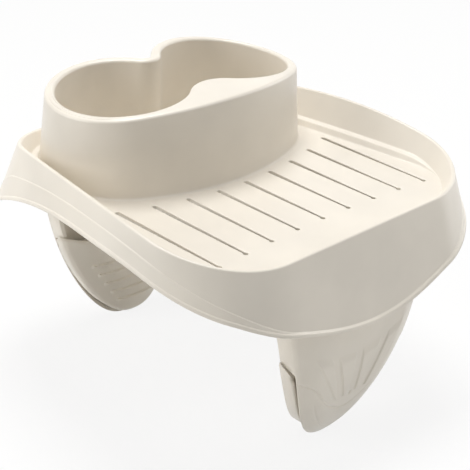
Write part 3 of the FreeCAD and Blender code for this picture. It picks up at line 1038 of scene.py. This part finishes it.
@dataclass
class LegShell:
    """Outer shell of a leg, with the frame round the opening above the pad."""

    form: LegForm
    frame_depth: float = 17.8
    frame_width: float = 2.8
    window_top: float = -24.0
    rim_radius: float = 0.6
    side_clearance: float = 1.7  # the hollow's side starts this far below the foot of the soft edge
    lining_clearance: float = 1.6  # the hollow's own face lies at most this far below it
    edge_straight: float = 0.15  # straight share of the soft edge's fall; the rest is a parabola
    # Border below the tongue
    step: float = 0.6  # step from the tongue down to the border
    groove: float = 0.5
    groove_place: float = 0.7  # the groove lies this far outside the step
    groove_width: float = 0.6
    tongue_edge: tuple[Pair, ...] = (
        (0.0, -113.0), (6.0, -112.3), (10.0, -110.6), (15.0, -107.4), (20.0, -103.6), (26.0, -97.6),
        (30.5, -91.0), (33.5, -86.5), (37.0, -83.4), (46.0, -78.1), (54.0, -73.3), (60.0, -69.5))
    tip_line_inset: float = 9.0  # a shallow line that runs along the tip's edge
    tip_line_depth: float = 0.4
    tip_line_width: float = 0.8
    tip_line_start: float = -96.0
    tip_line_run_in: float = 10.0
    dot_depth: float = 0.8
    dot_radius: float = 1.3
    # Wedges: half widths of each one's two sides, at the top and at the bottom
    wedges: tuple[tuple[float, ...], ...] = ((3.0, 3.6, 20.8, 7.0), (26.6, 12.2, 38.5, 14.0))
    wedge_line: Pair = (-65.0, -103.0)
    wedge_top: float = -69.0
    wedge_top_rise: float = 0.0055
    wedge_bottom: float = -103.0
    wedge_proud: float = 0.9
    wedge_fade: float = 7.0
    wedge_flank: float = 1.1
    wedge_flank_start: float = 0.3
    fine_fade: float = 3.0  # the fine forms fade out this close to the outline

    def relief(self, x: Array, z: Array) -> Array:
        """Depth of the fine forms on the outer face.

        The border below the tongue lies one step deeper, with a groove along the step. Each wedge stands
        proud between two straight sides that close up downwards.

        Args:
            x: distance from the middle.
            z: height.

        Returns:
            Depth at each point, positive inwards.
        """
        out = np.abs(x)
        knots = np.array(self.tongue_edge)
        before, edge, after = (np.interp(out + off, knots[:, 0], knots[:, 1]) for off in (-1.0, 0.0, 1.0))
        away = (z - edge) / np.hypot(1.0, (after - before) / 2.0)
        depth = self.step * (1.0 - smooth_step(away + 0.5))
        depth = depth + self.groove * np.exp(-np.square((away + self.groove_place) / self.groove_width))
        fall = (self.wedge_line[0] - z) / (self.wedge_line[0] - self.wedge_line[1])
        fade = smooth_step((self.wedge_top + self.wedge_top_rise * out ** 2 - z) / self.wedge_fade)
        for near_top, near_low, far_top, far_low in self.wedges:
            near = near_top + (near_low - near_top) * fall
            far = far_top + (far_low - far_top) * fall
            inside_by = np.minimum(np.minimum(out - near, far - out), z - self.wedge_bottom)
            flank = smooth_step(inside_by / self.wedge_flank + self.wedge_flank_start)
            depth = depth - self.wedge_proud * flank * fade
        return depth

    def soft_edge(self, inward: Array) -> Array:
        """Fall of the soft edge: mostly the square of the share of its width that is left.

        Args:
            inward: distance from the outline.

        Returns:
            Depth below the outer face at each point.
        """
        left = np.clip(1.0 - inward / self.form.edge_width, 0.0, 1.0)
        fall = self.edge_straight * left + (1.0 - self.edge_straight) * left ** 2
        return self.form.edge_depth * fall + self.form.fillet(inward)

    def build(self, material: Material) -> bpy.types.Object:
        """Builds the piece: outer face, rim, frame round the opening, and the hollow inside.

        Args:
            material: what it is made of.

        Returns:
            The piece.
        """
        form = self.form
        half, z = form.profile()
        x = form.spread()[None] * half[:, None]
        height = np.broadcast_to(z[:, None], x.shape)
        inward = form.inward(x, height)
        tip_share = smooth_step((self.tip_line_start - height) / self.tip_line_run_in)
        tip_line = np.exp(-np.square((inward - self.tip_line_inset) / self.tip_line_width))
        from_dot = np.square(x) + np.square(height - self.wedge_bottom)
        dot = self.dot_depth * np.exp(-from_dot / self.dot_radius ** 2)
        fine = (self.relief(x, height) + dot) * smooth_step(inward / self.fine_fade)
        depth = self.soft_edge(inward) + fine + self.tip_line_depth * tip_line * tip_share
        skin = Skin()
        skin.grid(form.place(x, height, depth))
        edge = border(depth)
        rows = []

        def row(inset: float | Array, lid: float, depth_at: Callable[[Array], Array]) -> None:
            """Adds one loop; its depth is a function of the height of the loop itself."""
            loop_x, loop_z = form.ring(inset, lid)
            rows.append(form.place(loop_x, loop_z, depth_at(loop_z)))

        def rim(h: Array) -> Array:
            """Depth of the rim at height h: shallow beside the pad and full above it."""
            return form.shell_depth + (self.frame_depth - form.shell_depth) * form.above_pad(h)

        def side(h: Array) -> Array:
            """Depth of the hollow's side at height h: one wall under the rim."""
            return np.maximum(rim(h) - form.wall, form.edge_depth + self.side_clearance)

        def lining(a: Array, b: Array) -> Array:
            """Depth of the hollow's own face: one wall below the outer face, and never below its side."""
            most = form.edge_depth + self.lining_clearance - form.wall
            return form.wall + np.minimum(self.soft_edge(form.inward(a, b)), most)

        r, top = self.rim_radius, form.top
        width = form.wall + (self.frame_width - form.wall) * form.above_pad(z)
        row(0.0, top, lambda h: edge)
        # The rounding's start, its middle and its end
        for inset, lift in ((0.0, r), (0.3 * r, 0.3 * r), (r, 0.0)):
            row(inset, top, lambda h, lift=lift: rim(h) - lift)
        for share in (0.25, 0.5, 0.75, 1.0):
            row(r + (width - r) * share, top + (self.window_top - top) * share, rim)
        row(width, self.window_top, side)
        row(form.wall, top - form.wall, side)
        form.zip_up(skin, rows, form.ring(form.wall, top - form.wall), lining)
        node = f"{form.end.word}_leg"
        return skin.piece(f"{node}_shell", node, Slot.LEG, material)


@dataclass
class GripPad:
    """Pad on the inner side of a leg, with grip ribs."""

    form: LegForm
    tip_rise: float = 5.5
    back: float = 8.3  # depth of its edge beside the slit
    wider: float = 3.2  # its outline stands out beyond the shell's
    edge_width: float = 27.0
    edge_depth: float = 8.0
    edge_loops: tuple[Pair, ...] = ((0.0, 0.9), (0.3, 0.25), (0.9, 0.0))  # inset, and depth beyond back
    rows: int = 150
    # Top edge
    top_middle: float = -76.0  # it dips towards the middle
    top_rise: float = 16.0
    top_slope: float = 0.55  # and falls towards the slit
    top_width: float = 2.5  # width and depth of its rounding
    top_depth: float = 1.2
    passes: int = 30  # its ends meet the outline in this many passes, from this angle
    first_turn: float = 0.5
    # Slit and hollow
    notch_z: float = -74.5  # the slit is wider here
    notch_half_height: float = 2.4
    notch_depth: float = 1.4
    clearance: float = 2.0  # the hollow starts this far beyond back, and is full after the run-in
    run_in: float = 8.0
    # Ribs
    rib_count: int = 5
    rib_first: float = -91.5
    rib_pitch: float = 7.3
    rib_half_width: float = 34.5
    rib_half_width_step: float = 4.3
    rib_proud: float = 1.5
    rib_half_height: float = 1.25
    rib_flank: float = 0.6
    rib_end: float = 1.2

    def soft_edge(self, inward: Array) -> Array:
        """Fall of the soft edge round the inner face: the square of the share of its width that is left."""
        left = np.clip(1.0 - inward / self.edge_width, 0.0, 1.0)
        return self.edge_depth * left ** 2 + self.form.fillet(inward)

    def ribs(self, x: Array, z: Array) -> Array:
        """Height of the grip ribs: flat tops with steep flanks and soft ends.

        Args:
            x: distance from the middle.
            z: height.

        Returns:
            How far they stand proud at each point.
        """
        total = np.zeros_like(x)
        for number in range(self.rib_count):
            away = np.abs(z - self.rib_first + self.rib_pitch * number)
            half = self.rib_half_width - self.rib_half_width_step * number
            flank = smooth_step((self.rib_half_height - away) / self.rib_flank)
            total += self.rib_proud * flank * smooth_step((half - np.abs(x)) / self.rib_end)
        return total

    def build(self, material: Material) -> bpy.types.Object:
        """Builds the piece: inner face with its ribs, the edge beside the slit, and the hollow behind.

        Args:
            material: what it is made of.

        Returns:
            The piece.
        """
        form = self.form
        reach = form.tip - self.tip_rise + form.widest_z
        widest = form.half_width + self.wider

        def top_edge(inset: float, drop: float) -> tuple[Array, Array, Array]:
            """Top edge, found by repeated substitution, because its ends lie on the outline.

            Args:
                inset: how far it is moved in.
                drop: how far it is lowered.

            Returns:
                X, Z and the angle on the outline of each point.
            """
            turn = np.full(form.columns, self.first_turn)
            for _ in range(self.passes):
                x_top = form.spread() * (form.half_at(turn, widest) - inset)
                z_top = self.top_middle + self.top_rise * (x_top / widest) ** 2 - drop - inset
                turn = np.arcsin(np.clip((form.widest_z - z_top) / reach, 0.0, 1.0))
            return x_top, z_top, turn

        def down_from(start: Array) -> Array:
            """Angles from each start down to the tip, one row for each step."""
            return start + (math.pi / 2 - start) * np.linspace(0.0, 1.0, self.rows)[:, None]

        def loop(inset: float, drop: float) -> tuple[Array, Array]:
            """Closed loop round the pad.

            Args:
                inset: how far it stands inside the outline.
                drop: how far its top edge is lowered.

            Returns:
                X and Z of the loop.
            """
            x_top, z_top, start = top_edge(inset, drop)
            turn = down_from(start[:1])[:, 0]
            x, z = moved_in(form.half_at(turn, widest), form.widest_z - reach * np.sin(turn), inset)
            return around(x, np.minimum(z, z_top[0]), x_top, z_top)

        _, z_top, start = top_edge(0.0, 0.0)
        turn = down_from(start[None])
        x = form.spread()[None] * form.half_at(turn, widest)
        z = form.widest_z - reach * np.sin(turn)
        inward = form.inward(x * form.half_width / widest, z, self.tip_rise)
        top_soft = np.clip(1.0 - (z_top[None] - z) / self.top_width, 0.0, 1.0)
        depth = form.thickness - self.soft_edge(inward) + self.ribs(x, z) - self.top_depth * top_soft ** 2
        skin = Skin()
        skin.grid(form.place(x, z, depth))
        rows = [form.place(*loop(0.0, 0.0), border(depth))]
        room = form.thickness - self.edge_depth - self.back
        for inset, off in (*self.edge_loops, (form.wall, 0.0)):
            loop_x, loop_z = loop(inset, self.top_slope * (room - off))
            notch = np.exp(-np.square((loop_z - self.notch_z) / self.notch_half_height))
            rows.append(form.place(loop_x, loop_z, self.back + off + self.notch_depth * notch))

        def lining(a: Array, b: Array) -> Array:
            """Depth of the hollow's own face: one wall above the inner face, and shallow near the edge."""
            share = smooth_step((form.inward(a, b, self.tip_rise) - form.wall) / self.run_in)
            return self.back + self.clearance + (room - form.wall - self.clearance) * share

        form.zip_up(skin, rows, loop(form.wall, self.top_slope * room), lining)
        node = f"{form.end.word}_leg_pad"
        return skin.piece(f"{node}_grip", node, Slot.LEG, material)


@dataclass
class Studio:
    """Pale floor, soft lamps and the camera of the photograph."""

    # Camera: the point that it looks at and its distance in millimetres, and three angles in degrees
    target: Triple = (-56.25, -62.5, 3.0)
    distance: float = 767.5
    azimuth: float = -46.29
    elevation: float = 27.22
    roll: float = 3.31
    lens: float = 102.8
    sensor: float = 36.0
    clip: Pair = (0.05, 20.0)
    # Lamps: name, place and width in metres, and watts
    lamps: tuple[tuple[str, Triple, float, float], ...] = (
        ("key", (-1.3, 0.6, 0.45), 0.8, 9.0),
        ("top", (0.15, 0.3, 1.7), 0.9, 28.0),
        ("side", (1.3, -0.35, 0.3), 0.9, 4.6),
        ("fill", (0.1, -1.5, 0.8), 1.2, 3.0))
    world_colour: Colour = (1.0, 0.985, 0.96, 1.0)
    world_strength: float = 0.14
    # Floor
    floor_z: float = -139.0
    floor_reach: float = 3.0  # metres
    floor_colour: Colour = (0.9, 0.9, 0.89, 1.0)
    floor_roughness: float = 0.8
    floor_glow: float = 0.85  # share of the floor that is plain white to the camera

    def camera(self) -> None:
        """Places the camera: it looks at the target from the given angles, turned by the roll."""
        azimuth, elevation, roll = (math.radians(a) for a in (self.azimuth, self.elevation, self.roll))
        back = Vector((math.sin(azimuth) * math.cos(elevation), -math.cos(azimuth) * math.cos(elevation),
                       math.sin(elevation)))
        right = Vector((0, 0, 1)).cross(back).normalized()
        up = back.cross(right)
        side = right * math.cos(roll) + up * math.sin(roll)
        above = up * math.cos(roll) - right * math.sin(roll)
        data = bpy.data.cameras.new("camera")
        data.lens = self.lens
        data.sensor_width = self.sensor
        data.clip_start, data.clip_end = self.clip
        camera = add_object("camera", data)
        place = (Vector(self.target) + back * self.distance) * MILLIMETRE
        camera.matrix_world = Matrix.Translation(place) @ Matrix((side, above, back)).transposed().to_4x4()
        bpy.context.scene.camera = camera

    @staticmethod
    def mixed(tree: Tree, share: float, first: Socket,
              second: Socket) -> Socket:
        """Mixes two shaders, the second only for camera, glossy and transmission rays.

        Args:
            tree: node tree that the nodes go into.
            share: share of the second for those rays.
            first: shader for all other rays.
            second: shader for those rays.

        Returns:
            The mixed shader's socket.
        """
        path = add_node(tree, "LightPath", {})
        seen = path.outputs["Is Camera Ray"]
        for ray in ("Is Glossy Ray", "Is Transmission Ray"):
            both = add_node(tree, "Math", {0: seen, 1: path.outputs[ray]})
            both.operation = "MAXIMUM"
            seen = both.outputs["Value"]
        scaled = add_node(tree, "Math", {0: seen, 1: share})
        scaled.operation = "MULTIPLY"
        mix = add_node(tree, "MixShader", {"Fac": scaled.outputs["Value"], 1: first, 2: second})
        return mix.outputs["Shader"]

    def light(self) -> None:
        """Lights the tray from above and from its left, with a weak fill from the front."""
        for name, place, size, power in self.lamps:
            data = bpy.data.lights.new(name, "AREA")
            data.size = size
            data.energy = power
            lamp = add_object(name, data)
            lamp.location = place
            lamp.rotation_euler = (-Vector(place)).to_track_quat("-Z", "Y").to_euler()
        world = bpy.data.worlds.new("studio")
        world.use_nodes = True
        bpy.context.scene.world = world
        tree = world.node_tree
        tree.nodes.clear()
        dim = add_node(tree, "Background", {"Color": self.world_colour, "Strength": self.world_strength})
        white = add_node(tree, "Background", {"Color": (1.0,) * 4, "Strength": 1.0})
        mixed = self.mixed(tree, 1.0, dim.outputs["Background"], white.outputs["Background"])
        add_node(tree, "OutputWorld", {"Surface": mixed})

    def ground(self) -> None:
        """Lays the floor: white to the camera apart from the tray's shadow."""
        data = bpy.data.meshes.new("studio_floor")
        r, z = self.floor_reach, self.floor_z * MILLIMETRE
        data.from_pydata([(-r, -r, z), (r, -r, z), (r, r, z), (-r, r, z)], [], [(0, 1, 2, 3)])
        floor = add_object("studio_floor", data)
        material = bpy.data.materials.new("studio_floor")
        material.use_nodes = True
        tree = material.node_tree
        shader = tree.nodes["Principled BSDF"]
        set_inputs(tree, shader, {"Base Color": self.floor_colour, "Roughness": self.floor_roughness})
        glow = add_node(tree, "Emission", {"Strength": 1.0})
        mixed = self.mixed(tree, self.floor_glow, shader.outputs["BSDF"], glow.outputs["Emission"])
        set_inputs(tree, tree.nodes["Material Output"], {"Surface": mixed})
        data.materials.append(material)


def main() -> None:
    """Builds the pieces in order, then the studio."""
    logging.basicConfig(level=logging.INFO, format="%(name)s: %(message)s")
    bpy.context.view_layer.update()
    tray_plastic = MouldedPlastic("tray_plastic").build()
    leg_plastic = MouldedPlastic("leg_plastic", colour=(0.78, 0.725, 0.635)).build()
    well = CupWell()
    TrayRim().build(tray_plastic, well.pocket())
    well.build(tray_plastic)
    for end in End:
        UnderFloor().build(end, tray_plastic, leg_plastic)
        form = LegForm(end)
        LegShell(form).build(leg_plastic)
        GripPad(form).build(leg_plastic)
    studio = Studio()
    studio.ground()
    studio.light()
    studio.camera()
    bpy.context.scene.view_settings.view_transform = "Standard"


if __name__ == "__main__":
    main()
